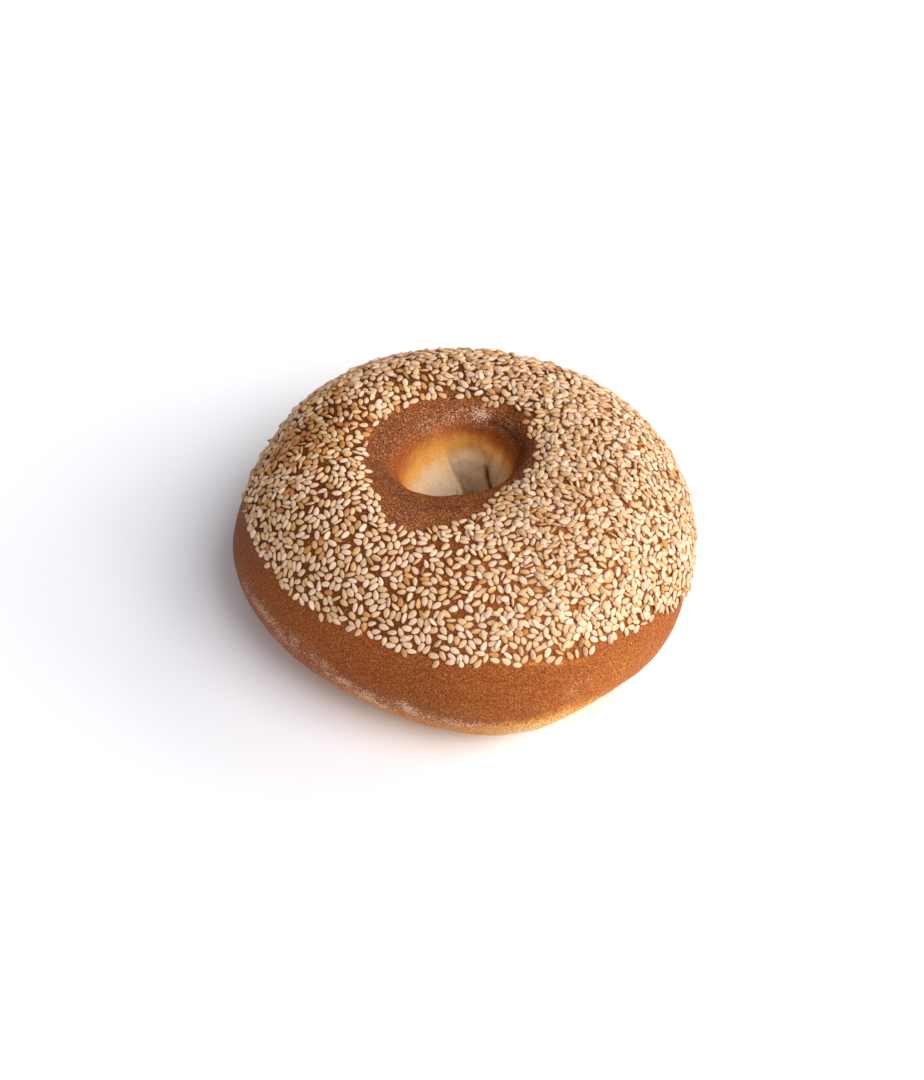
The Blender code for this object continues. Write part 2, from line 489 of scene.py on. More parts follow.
@dataclass(frozen=True)
class BreadZones:
    """Where the bread is brown, golden, pale, toasted and floured, and where shade and light are painted on
    it.

    What lies in the hole follows angles round hole_middle, and the rest follows angles round
    the middle of the bread. The streak of flour is a row of angles, heights and strengths.
    """

    hole_middle: tuple[float, float] = (0.2, 8.2)
    crown_radius: float = 30.0
    fold: WallFold = WallFold()
    cover: SeedCover = SeedCover()
    waver: Waves = ((7.0, 1.3, 3.0), (2.2, 0.8, 5.0))
    wall_shades: Curve = (
        (31, 0), (35, 0.04), (37.2, 0.14), (39, 0.30), (42, 0.43), (45, 0.66), (47.9, 1),
    )
    wall_sunk: tuple[Arc, ...] = (Arc(122, 26, 0.9), Arc(190, 32, -1.8), Arc(-90, 60, -1.6))
    wall_bands: Bands = ((Arc(33, 26, 1.8), 43, 40.5), (Arc(33, 40, -2.4), 41, 44))
    base_shades: Curve = ((0, 0.50), (3, 0.56), (9, 0.74), (22, 1))
    golden_bands: Bands = ((Arc(-52, 30, 0.20), 46, 20), (Arc(-112, 24, 0.26), 22, 13))
    foot_level: float = 19.0
    foot_rise: Arc = Arc(-62, 13, 4.6)
    foot_waver: Waves = ((2.6, 1.6, 5.0),)
    foot_arc: Arc = Arc(-70, 15.5, 1.1)
    ring_arc: Arc = Arc(200, 80, 0.30)
    lip_lines: tuple[LipLine, ...] = (
        # The first line is painted shade on the right of the lip, which faces away from the lamps; the other
        # two are darker lines along the lip's edge.
        LipLine(48.8, 1.5, Arc(28, 50, 0.32), 0.10),
        LipLine(50.7, 0.16, Arc(-88, 42, 0.38)),
        LipLine(47, 0.24, Arc(62, 38, 0.8), rise=Arc(45, 35, 2.3)),
    )
    # A crease under the seeds' edge, cut into the relief, with a painted highlight: a paler line along it.
    crease_with_painted_highlight: Crease = Crease(-70, 11, 37.8, -0.18, 0.45, 0.42)
    # Creases cut into the relief and darkened along them with painted shade.
    shaded_creases: tuple[Crease, ...] = (
        Crease(-92, 16, 20.2, -0.02, 0.55, 0.50),
        Crease(-68, 8, 22, 0.12, 0.30, 0.7),
        Crease(140, 20, 11, 0.05, 0.5, 0.8),
        Crease(60, 16, 13, -0.06, 0.45, 0.7),
    )
    toasted: tuple[Patch, ...] = (
        Patch((-43, 19, 49.5), 11, 0.62),
        Patch((-58, -2, 22), 24, 0.42),
        Patch((-30, -2, 53), 12, 0.25),
        Patch((20, 9, 51.5), 8, 0.5),
        Patch((14, 21, 50), 8, 0.35),
        Patch((-10, -60, 31), 16, 0.20),
        Patch((10, 57, 38), 16, 0.4),
    )
    floured: tuple[Patch, ...] = (
        Patch((5.4, 24.4, 50.2), 3.2, 1.25),
        Patch((-1, 25, 50.2), 3.4, 0.5),
        Patch((-13, -18, 52.5), 5, 0.25),
        Patch((-20, 19, 51), 10, 0.10),
        Patch((-10, 20.5, 48.8), 4.2, 0.48),
        Patch((-3.5, 23, 49), 3.2, 0.50),
        Patch((-8, 27, 51), 7, 0.10),
        Patch((29.5, -60, 28), 2.6, 0.85),
        Patch((35, -57.5, 29.5), 2, 0.75),
        Patch((40, 45, 16), 9, 0.7),
        Patch((-5, 61, 15), 10, 0.6),
        Patch((-40, 46, 14), 8, 0.7),
    )
    streak: tuple[tuple[float, float, float], ...] = (
        (-172, 26, 0.30), (-160, 26, 0.85), (-147, 25, 0.85), (-135, 26, 0.75),
        (-128, 23.6, 0.90), (-122, 20.5, 1.00), (-116, 18.8, 0.95), (-106, 20.4, 1.05),
        (-101, 19.6, 0.80), (-93, 17.8, 0.80), (-82, 17.2, 0.60), (-66, 17.5, 0),
    )
    streak_above: float = 3.4
    streak_below: float = 6.0

    def inside(self, points: Array) -> Array:
        """Return 1 in the hole and over its lip, falling to 0 at the crown."""
        return ease(polar(points, self.hole_middle)[1], self.crown_radius * MM, 0.8 * self.crown_radius * MM)

    @staticmethod
    def toward_lamps(points: Array) -> Array:
        """Return how far each point lies to the right and a little to the front, toward the lamps, in metres.
        """
        return points[:, 0] - 0.35 * points[:, 1]

    def bake(self, points: Array) -> Array:
        """Return how brown the crust is: 1 on the side, about 0.5 where golden, 0 where pale, with painted
        light and shade mixed in.
        """
        angles, _ = polar(points, self.hole_middle)
        height = points[:, 2] / MM
        waver = rippled(points, self.waver)
        sunk = swell(self.wall_sunk, angles) + banded(self.wall_bands, angles, height)
        # The fold's painted shade also browns the wall a little.
        golden = follow(self.wall_shades, height + waver - sunk) + 0.10 * self.fold.dark(points)
        outside = follow(self.base_shades, height + 1.2 * waver)
        outside -= banded(self.golden_bands, polar(points)[0], height)
        # Painted light: the top of the crust is made paler toward the lamps at the front right.
        outside -= 0.16 * ease(self.toward_lamps(points), 5.0 * MM, 50.0 * MM) * ease(height, 36.0, 42.0)
        # The pale foot, and the painted highlight along the crease under the seeds.
        outside -= 0.45 * self.foot(points) + 0.40 * self.crease_with_painted_highlight.at(points)
        share = self.inside(points)
        return share * golden + (1.0 - share) * outside

    def foot(self, points: Array) -> Array:
        """Return 1 on the pale foot at the front, which hardly browned."""
        theta, _ = polar(points)
        level = self.foot_level + self.foot_rise.at(theta) + rippled(points, self.foot_waver)
        return np.minimum(self.foot_arc.at(theta) * ease(points[:, 2] / MM - level, 2.0, -3.5), 1.0)

    def ring(self, points: Array) -> Array:
        """Return 1 on the bare ring round the hole."""
        return ease(self.cover.clear(points), 1.5, -1.5) * ease(points[:, 2], 47.6 * MM, 50.0 * MM)

    def grit(self, points: Array) -> Array:
        """Return how coarsely the crust is speckled."""
        wall = ease(points[:, 2], 49.5 * MM, 44.0 * MM) * self.inside(points)
        return (0.72 + 1.05 * self.ring(points) + 0.35 * self.foot(points)) * (1.0 - 0.80 * wall)

    def toast_and_painted_shade(self, points: Array) -> Array:
        """Return how much darker the bread is: toasting, with painted shade in the fold, the creases, the
        right of the lip and the gaps between seeds.
        """
        angles, _ = polar(points, self.hole_middle)
        ring = (0.40 + self.ring_arc.at(angles)) * self.ring(points)
        # Darker crust and painted shade in the gaps between the seeds, less on the right, which the lamps
        # light.
        under = 0.75 - 0.62 * ease(self.toward_lamps(points), -10.0 * MM, 40.0 * MM)
        under *= ease(self.cover.inset(points), -0.2, 1.8)
        crust = np.minimum(patched(self.toasted, points) + np.maximum(ring, under), 1.0)
        # The lip lines: painted shade on the right of the lip, darker lines elsewhere.
        lip = sum(line.at(angles, points[:, 2] / MM) for line in self.lip_lines) * self.inside(points)
        # Painted shade along the creases.
        crease_shade = 0.6 * sum(crease.at(points) for crease in self.shaded_creases)
        # The fold's painted shade darkens the pocket and the slit.
        return crust + lip + crease_shade + self.fold.dark(points)

    def flour(self, points: Array) -> Array:
        """Return how much flour dusts the crust."""
        height, theta = points[:, 2] / MM, np.degrees(polar(points)[0])
        angles, levels, strengths = zip(*self.streak)
        over = height - np.interp(theta, angles, levels)
        band = bell(over, np.where(over > 0.0, self.streak_above, self.streak_below))
        blotch = 0.75 + 0.60 * ease(ripple(points, 4.0 * MM, 81.0), -0.3, 0.3)
        side = 0.40 * bell(height - 18.0, 6.0) + band * np.interp(theta, angles, strengths) * blotch
        side *= 1.0 - self.inside(points)
        return patched(self.floured, points) + side + 0.40 * self.ring(points) + 0.5 * ease(height, 5.0, 0.0)


@dataclass(frozen=True)
class CrustFinish:
    """Baked crust, from the pale crumb in the hole to the brown outside, with dusted flour and painted shade
    and light.
    """

    name: str = "baked_crust"
    shades: tuple[tuple[float, Colour], ...] = (
        (0, (0.72, 0.56, 0.37)),
        (0.16, (0.72, 0.49, 0.25)),
        (0.36, (0.66, 0.32, 0.075)),
        (0.58, (0.50, 0.19, 0.038)),
        (0.80, (0.35, 0.106, 0.024)),
        (1, (0.245, 0.065, 0.0145)),
        (1.2, (0.17, 0.040, 0.008)),
    )
    # The dark brown of toasted crust, toward which the painted shade also darkens.
    toasted: Colour = (0.060, 0.0165, 0.0055)
    flour: Colour = (0.70, 0.46, 0.31)
    spark: Colour = (0.62, 0.35, 0.16)
    grain_size: float = 0.48 * MM
    speck_size: float = 0.46 * MM
    bubble_size: float = 1.7 * MM
    pore_size: float = 2.3 * MM
    mottle_size: float = 4.5 * MM
    cloud_size: float = 15.0 * MM
    relief_height: float = 0.16 * MM

    def material(self) -> bpy.types.Material:
        """Return the crust's material."""
        bench = ShaderBench(self.name)
        grain = bench.grain(self.grain_size, 1.5, 0.7)
        specks = bench.grain(self.speck_size, 1.0, 0.6)
        mottle = bench.grain(self.mottle_size, 3.0, 0.55)
        cloud = bench.grain(self.cloud_size, 2.0, 0.5)
        bubbles = 1.0 - bench.cells(self.bubble_size).step(0.08, 0.20)
        pores = 1.0 - bench.cells(self.pore_size).step(0.06, 0.16)
        # How brown the crust is, with some painted light and shade in it.
        bake = bench.painted("bake")
        brown = bake.step(0.30, 0.95)
        coarse = bench.painted("grit")
        shade = bake + (mottle - 0.5) * 0.30 + (cloud - 0.5) * 0.26 - (grain - 0.5) * coarse * 0.8
        darkest = self.shades[-1][0]
        stops = tuple((place / darkest, tint) for place, tint in self.shades)
        colour = bench.ramp(shade * (1.0 / darkest), stops)
        contrast = (grain - 0.5) * (coarse * 2.1 + 0.3) + (mottle - 0.5) * (0.30 + brown * 0.10)
        contrast = contrast + (cloud - 0.5) * brown * 0.40
        colour = bench.scaled(colour, 1.0 + contrast)
        # Toasting and painted shade darken the crust toward the toasted brown.
        toast_and_painted_shade = (bench.painted("toast_and_painted_shade") * (0.6 + mottle * 0.8)).step(0.0, 1.6)
        colour = bench.mix(toast_and_painted_shade, colour, self.toasted)
        colour = bench.mix(pores * brown * mottle.step(0.45, 0.6) * 0.5, colour, self.toasted)
        colour = bench.mix(bubbles * brown * cloud.step(0.46, 0.56) * 0.30, colour, self.flour)
        floured = bench.painted("flour")
        colour = bench.mix((specks + grain * 0.3).step(0.80, 0.90) * brown * 0.5, colour, self.spark)
        dust = (specks + (grain - 0.5) * 0.3 + floured * (0.5 + mottle) * 0.20).step(0.74, 0.84)
        dusted = dust * (0.20 + floured.step(0.25, 1.0) * 0.52) + floured * 0.055
        colour = bench.mix(dusted, colour, self.flour)
        relief = grain * 0.8 + mottle * 0.3 + bubbles * 0.35 - pores * 0.5
        normal = bench.bump(relief, self.relief_height, 0.55)
        roughness = 0.60 + (grain - 0.5) * 0.24 + dust * 0.25
        return bench.surface(Base_Color=colour, Roughness=roughness, Normal=normal, Specular_IOR_Level=0.06)


class Toasting(Enum):
    """How brown a seed is."""

    IVORY = "ivory"
    CREAM = "cream"
    GOLDEN = "golden"
    TOASTED = "toasted"


@dataclass(frozen=True)
class SeedFinish:
    """The skin of a hulled sesame seed."""

    name: str
    light: Colour
    deep: Colour
    tip: Colour
    tip_share: float = 0.30
    # How far the painted shade darkens the seed's edge toward the tip's colour.
    edge_shade_share: float = 0.70

    def material(self) -> bpy.types.Material:
        """Return the seed's material."""
        bench = ShaderBench(self.name)
        tone = bench.painted("seed_tone")
        fine = bench.grain(0.35 * MM, 2.0, 0.6)
        broad = bench.grain(1.1 * MM, 1.0, 0.5)
        colour = bench.mix((tone + (broad - 0.5) * 0.7).step(0.05, 0.95), self.light, self.deep)
        colour = bench.scaled(colour, 1.0 + (fine - 0.5) * 0.22)
        point = (bench.painted("seed_length") + (fine - 0.5) * 0.3).step(0.55, 1.05)
        # Painted shade: the seed's edge is darkened toward the tip's colour.
        edge_shade = bench.painted("seed_edge_shade").step(0.25, 1.05)
        colour = bench.mix(point * self.tip_share + edge_shade * self.edge_shade_share, colour, self.tip)
        normal = bench.bump(fine * 0.6 + broad * 0.6, 0.05 * MM, 0.5)
        roughness = 0.54 + (broad - 0.5) * 0.2
        return bench.surface(
            Base_Color=colour,
            Roughness=roughness,
            Normal=normal,
            Specular_IOR_Level=0.25,
            Subsurface_Weight=0.12,
            Subsurface_Radius=(0.9 * MM, 0.5 * MM, 0.25 * MM),
            Subsurface_Scale=1.0,
        )


SEED_FINISHES = {
    kind: SeedFinish(kind.value + "_seed", *colours)
    for kind, colours in (
        (Toasting.IVORY, ((0.77, 0.555, 0.38), (0.69, 0.46, 0.29), (0.46, 0.23, 0.09))),
        (Toasting.CREAM, ((0.72, 0.475, 0.27), (0.62, 0.385, 0.19), (0.40, 0.18, 0.06))),
        (Toasting.GOLDEN, ((0.67, 0.40, 0.18), (0.50, 0.24, 0.07), (0.30, 0.12, 0.03))),
        (Toasting.TOASTED, ((0.58, 0.26, 0.075), (0.42, 0.15, 0.036), (0.20, 0.062, 0.015))),
    )
}


@dataclass(frozen=True)
class FloorFinish:
    """A smooth white board."""

    name: str = "white_floor"

    def material(self) -> bpy.types.Material:
        """Return the floor's material."""
        bench = ShaderBench(self.name)
        cloud = bench.grain(0.08, 2.0)
        colour = bench.mix(cloud, (0.93, 0.93, 0.93), (0.91, 0.91, 0.91))
        return bench.surface(Base_Color=colour, Roughness=0.7, Specular_IOR_Level=0.2)


@dataclass(frozen=True)
class RingUnwrap:
    """A flat map of the ring: two half rings, each unrolled round the tube of the bread."""

    hole_middle: tuple[float, float] = (0.6, 8.2)
    outer_radius: float = 65.0
    core_height: float = 26.0
    inner_radius: float = 11.0
    seam_angle: float = -100.0
    margin: float = 0.012

    def core_radius(self, angles: Array) -> Array:
        """Return how far the tube's core lies from the hole's axis, at angles round it."""
        x, y = self.hole_middle
        along = x * np.cos(angles) + y * np.sin(angles)
        edge = np.sqrt(along**2 + self.outer_radius**2 - (x * x + y * y)) - along
        return (edge + self.inner_radius) / 2.0 * MM

    def angles(self, points: Array) -> tuple[Array, Array]:
        """Return the angles of points round the hole and round the tube, in turns."""
        around, radius = polar(points, self.hole_middle)
        tube = np.arctan2(points[:, 2] - self.core_height * MM, radius - self.core_radius(around))
        return around / math.tau, (tube - math.radians(self.seam_angle)) / math.tau

    def paint(self, mesh: bpy.types.Mesh) -> None:
        """Give a mesh its map, kept whole where a face crosses a seam."""
        points = read(mesh.vertices, "co")
        corners = read(mesh.loops, "vertex_index", 1, int)[:, 0]
        sizes = read(mesh.polygons, "loop_total", 1, int)[:, 0]
        starts = np.concatenate(([0], np.cumsum(sizes)[:-1]))
        face = np.repeat(np.arange(len(sizes)), sizes)
        middles = np.add.reduceat(points[corners], starts) / sizes[:, None]
        around, tube = self.angles(points[corners])
        face_around, face_tube = self.angles(middles)
        face_around, face_tube = np.mod(face_around, 1.0), np.mod(face_tube, 1.0)
        around = face_around[face] + self._nearest(around - face_around[face])
        tube = face_tube[face] + self._nearest(tube - face_tube[face])
        half = (face_around >= 0.5).astype(float)[face]
        across = (around - 0.5 * half) * 2.0
        up = (half + self.margin + tube * (1.0 - 2.0 * self.margin)) / 2.0
        across = self.margin + across * (1.0 - 2.0 * self.margin)
        lay_flat(mesh, np.column_stack((across, up)))

    @staticmethod
    def _nearest(turns: Array) -> Array:
        """Return turns brought to between minus a half and a half."""
        return turns - np.round(turns)


@dataclass
class Crust:
    """The bagel's bread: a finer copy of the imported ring, with its relief and its colours."""

    name: str = "bread_crust"
    cuts: int = 2
    merge: float = 0.01 * MM
    join_bend: float = 50.0
    join_skew: float = 70.0
    waves: Waves = ((21.0, 0.42, 11.0), (8.0, 0.16, 22.0), (3.2, 0.075, 33.0), (1.8, 0.04, 44.0))
    pleats_around: float = 3.2
    pleat_length: float = 26.0
    pleat_depths: tuple[float, float] = (0.40, 0.22)
    folds_around: float = 9.0
    fold_length: float = 9.0
    fold_depth: float = 0.34
    zones: BreadZones = BreadZones()
    unwrap: RingUnwrap = RingUnwrap()
    finish: CrustFinish = CrustFinish()

    def build(self, node: bpy.types.Object) -> bpy.types.Object:
        """Make the crust.

        Args:
            node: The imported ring.

        Returns:
            The finished crust, which stands for the ring.
        """
        mesh = self._refined(node)
        points = read(mesh.vertices, "co")
        points = points + read(mesh.vertices, "normal") * self._relief(points)[:, None]
        points[:, 2] = np.maximum(points[:, 2], 0.0)
        mesh.vertices.foreach_set("co", points.ravel())
        zones = self.zones
        numbers = {"bake": zones.bake, "toast_and_painted_shade": zones.toast_and_painted_shade, "flour": zones.flour, "grit": zones.grit}
        carry(mesh, {name: zone(points) for name, zone in numbers.items()})
        self.unwrap.paint(mesh)
        mesh.shade_smooth()
        mesh.materials.append(self.finish.material())
        crust = put(self.name, mesh)
        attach(crust, BODY)
        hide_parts(BREAD_NODE)
        return crust

    def _refined(self, node: bpy.types.Object) -> bpy.types.Mesh:
        """Return a copy of the ring, merged, in four-sided faces and subdivided."""
        bm = bmesh.new()
        bm.from_mesh(node.data)
        bmesh.ops.remove_doubles(bm, verts=bm.verts, dist=self.merge)
        bend, skew = math.radians(self.join_bend), math.radians(self.join_skew)
        bmesh.ops.join_triangles(bm, faces=bm.faces, angle_face_threshold=bend, angle_shape_threshold=skew)
        for layer in list(bm.loops.layers.uv):
            bm.loops.layers.uv.remove(layer)
        rough = bpy.data.meshes.new(self.name + "_rough")
        bm.to_mesh(rough)
        bm.free()
        holder = put(self.name + "_rough", rough)
        finer = holder.modifiers.new("finer", "SUBSURF")
        finer.levels = finer.render_levels = self.cuts
        bpy.context.view_layer.update()
        seen = holder.evaluated_get(bpy.context.evaluated_depsgraph_get())
        mesh = bpy.data.meshes.new_from_object(seen)
        mesh.name = self.name
        mesh.materials.clear()
        bpy.data.objects.remove(holder)
        bpy.data.meshes.remove(rough)
        return mesh

    def _relief(self, points: Array) -> Array:
        """Return how far the crust stands out at each point, in metres."""
        height = points[:, 2] / MM
        relief = rippled(points, self.waves)
        angles, radius = polar(points, self.zones.hole_middle)
        inner = ease(radius, 24.0 * MM, 15.0 * MM) * ease(height, 51.0, 44.0)
        pleats = self._wrapped(angles, self.pleats_around, height / self.pleat_length)
        broad, fine = self.pleat_depths
        relief += inner * (broad * ripple(pleats, 1.0, 2.0) + fine * ripple(2.3 * pleats, 1.0, 4.0))
        belt = bell(height - 9.0, 6.5) * (1.0 - inner)
        folds = self._wrapped(polar(points)[0], self.folds_around, height / self.fold_length)
        relief += belt * self.fold_depth * ripple(folds, 1.0, 7.0)
        for crease in (self.zones.crease_with_painted_highlight, *self.zones.shaded_creases):
            relief -= crease.depth * crease.at(points)
        relief += self.zones.fold.relief(points)
        return relief * ease(height, 0.0, 4.0) * MM

    @staticmethod
    def _wrapped(angles: Array, radius: float, height: Array) -> Array:
        """Return places on a tube, in which a ripple has no seam."""
        return np.column_stack((radius * np.cos(angles), radius * np.sin(angles), height))


@dataclass(frozen=True)
class SeedShape:
    """The form of one seed: a flat drop, round at one end and pointed at the other.

    Its own lengths run from -1 to 1, along X from the round end to the point, across Y and
    through Z. It is stretched to its real size as it is laid.
    """

    around: int = 10
    along: int = 6
    taper: float = 0.19
    pinch: float = 0.20
    arch: float = 0.08
    flatness: float = 0.60

    def build(self) -> tuple[Array, list[tuple[int, ...]], list[tuple[float, float]]]:
        """Make the seed.

        Returns:
            Its corners, its faces and, for each corner of each face, its place on a unit map.
        """
        bm = bmesh.new()
        turn = Matrix.Rotation(math.radians(90.0), 4, "Y")
        sizes = {"u_segments": self.around, "v_segments": self.along, "radius": 1.0}
        bmesh.ops.create_uvsphere(bm, **sizes, matrix=turn)
        rows = []
        for face in bm.faces:
            middle = face.calc_center_median()
            facing = math.atan2(middle.z, middle.y)
            row = [(vert.index, self._mapped(vert.co, facing)) for vert in face.verts]
            first = row.index(min(row))
            rows.append(row[first:] + row[:first])
        rows.sort()
        corners = np.array([self._drop(vert.co) for vert in bm.verts])
        bm.free()
        faces = [tuple(vert for vert, _ in row) for row in rows]
        return corners, faces, [place for row in rows for _, place in row]

    @staticmethod
    def _mapped(co: Vector, facing: float) -> tuple[float, float]:
        """Return the place on a unit map of a corner of a face that faces this way round the X axis."""
        on_axis = math.hypot(co.y, co.z) < 0.01
        swing = 0.0 if on_axis else math.remainder(math.atan2(co.z, co.y) - facing, math.tau)
        tall = 0.5 + math.asin(max(-1.0, min(1.0, co.x))) / math.pi
        return (facing + swing) / math.tau + 0.5, tall

    def _drop(self, co: Vector) -> Vector:
        """Return a point of the unit ball moved to the seed's form."""
        s = co.x
        wide = (1.0 - self.taper * s) * (1.0 - self.pinch * max(s, 0.0) ** 2)
        thin = 1.0 - 0.5 * self.taper * s
        z = math.copysign(abs(co.z) ** self.flatness, co.z) if co.z else 0.0
        lift = self.arch * (0.5 - s * s)
        return Vector((s, co.y * wide, z * thin + lift))


@dataclass
class CellGrid:
    """Numbered points sorted into cubes, so that a point's neighbours are found quickly."""

    reach: float
    cells: dict[tuple[int, ...], list[int]] = field(default_factory=dict)
    steps: tuple[tuple[int, ...], ...] = tuple(product((-1, 0, 1), repeat=3))

    def _cell(self, point: Array) -> Array:
        """Return the cube that a point lies in."""
        return np.floor(point / self.reach).astype(int)

    def add(self, point: Array, number: int) -> None:
        """Sort a point in."""
        self.cells.setdefault(tuple(self._cell(point).tolist()), []).append(number)

    def near(self, point: Array) -> Array:
        """Return the numbers of the points in the cubes round a point."""
        found = []
        for cell in (self._cell(point) + np.array(self.steps)).tolist():
            found += self.cells.get(tuple(cell), ())
        return np.array(found, dtype=int)


@dataclass
class SeedBed:
    """Seeds spread flat on the crust, which shove each other until they have room.

    For each seed: its place, the way the crust faces there, the way the seed points, half its
    length, its width as it lies and its thickness, half its own length, width and thickness, and
    how far it is rolled on its edge, in radians. Three discs stand for its outline.
    """

    places: Array
    facing: Array
    along: Array
    halves: Array
    sizes: Array
    rolls: Array
    reach: float = 3.2 * MM
    disc_steps: tuple[float, ...] = (-0.55, 0.0, 0.57)
    disc_sizes: tuple[float, ...] = (0.78, 1.0, 0.70)
    stiffness: float = 0.32
    longest_shove: float = 0.16 * MM
    widest_turn: float = 0.15
    pairing: int = 8

    def discs(self, places: Array, along: Array, halves: Array) -> tuple[Array, Array]:
        """Return the middles and the radii of the discs of seeds that lie and point like this."""
        offsets = along[:, None] * (np.array(self.disc_steps)[None, :, None] * halves[:, None, None, 0])
        return places[:, None] + offsets, np.array(self.disc_sizes)[None] * halves[:, 1:2]

    def gaps(self, number: int, ways: Array, found: Array) -> Array:
        """Return the gap between a seed and the nearest of the found ones, for each way it may point."""
        theirs, their_sizes = self.discs(self.places[found], self.along[found], self.halves[found])
        mine, my_sizes = self.discs(self.places[number][None], ways, self.halves[number][None])
        apart = np.linalg.norm(theirs[None, :, :, None] - mine[:, None, None], axis=4)
        gaps = apart - their_sizes[None, :, :, None] - my_sizes[:, None, None]
        return gaps.min(axis=(1, 2, 3), initial=self.reach)

    def settle(self, crust: BVHTree, shoves: int) -> None:
        """Move and turn the seeds along the crust until they hardly overlap.

        Args:
            crust: The surface they lie on.
            shoves: How many rounds of small shoves.
        """
        for shove in range(shoves):
            if shove % self.pairing == 0:
                pairs = self._pairs()
            push, twist = self._shove(pairs)
            push = push - (push * self.facing).sum(1)[:, None] * self.facing
            size = np.linalg.norm(push, axis=1)[:, None]
            push *= np.minimum(1.0, self.longest_shove / np.maximum(size, 1e-9))
            moved = self.places + push
            across = np.cross(self.facing, self.along)
            self.along = self.along + np.clip(twist, -self.widest_turn, self.widest_turn)[:, None] * across
            for i, point in enumerate(moved.tolist()):
                place, up, _, _ = crust.find_nearest(Vector(point))
                self.places[i] = place
                self.facing[i] += 0.5 * (np.array(up) - self.facing[i])
            self.facing = unit(self.facing)
            self.along = unit(self.along - (self.along * self.facing).sum(1)[:, None] * self.facing)

    def _pairs(self) -> Array:
        """Return the pairs of seeds that are near each other."""
        tree = KDTree(len(self.places))
        for i, place in enumerate(self.places.tolist()):
            tree.insert(place, i)
        tree.balance()
        pairs = []
        for i, place in enumerate(self.places.tolist()):
            pairs += [(i, j) for _, j, _ in tree.find_range(place, self.reach) if j > i]
        return np.array(pairs)

    def _shove(self, pairs: Array) -> tuple[Array, Array]:
        """Return how far each seed is pushed, and turned about its upright, by its neighbours."""
        discs, sizes = self.discs(self.places, self.along, self.halves)
        first, second = pairs.T
        apart = discs[first][:, :, None] - discs[second][:, None, :]
        length = np.linalg.norm(apart, axis=3)
        over = np.maximum(0.0, sizes[first][:, :, None] + sizes[second][:, None, :] - length)
        force = apart * (self.stiffness * over / np.maximum(length, 1e-9))[..., None]
        push = np.zeros_like(self.places)
        np.add.at(push, first, force.sum((1, 2)))
        np.add.at(push, second, -force.sum((1, 2)))
        arms = discs - self.places[:, None]
        turning = np.zeros_like(self.places)
        np.add.at(turning, first, np.cross(arms[first][:, :, None], force).sum((1, 2)))
        np.add.at(turning, second, -np.cross(arms[second][:, None, :], force).sum((1, 2)))
        twist = (turning * self.facing).sum(1) / (0.5 * self.halves[:, 0] ** 2)
        return push, twist


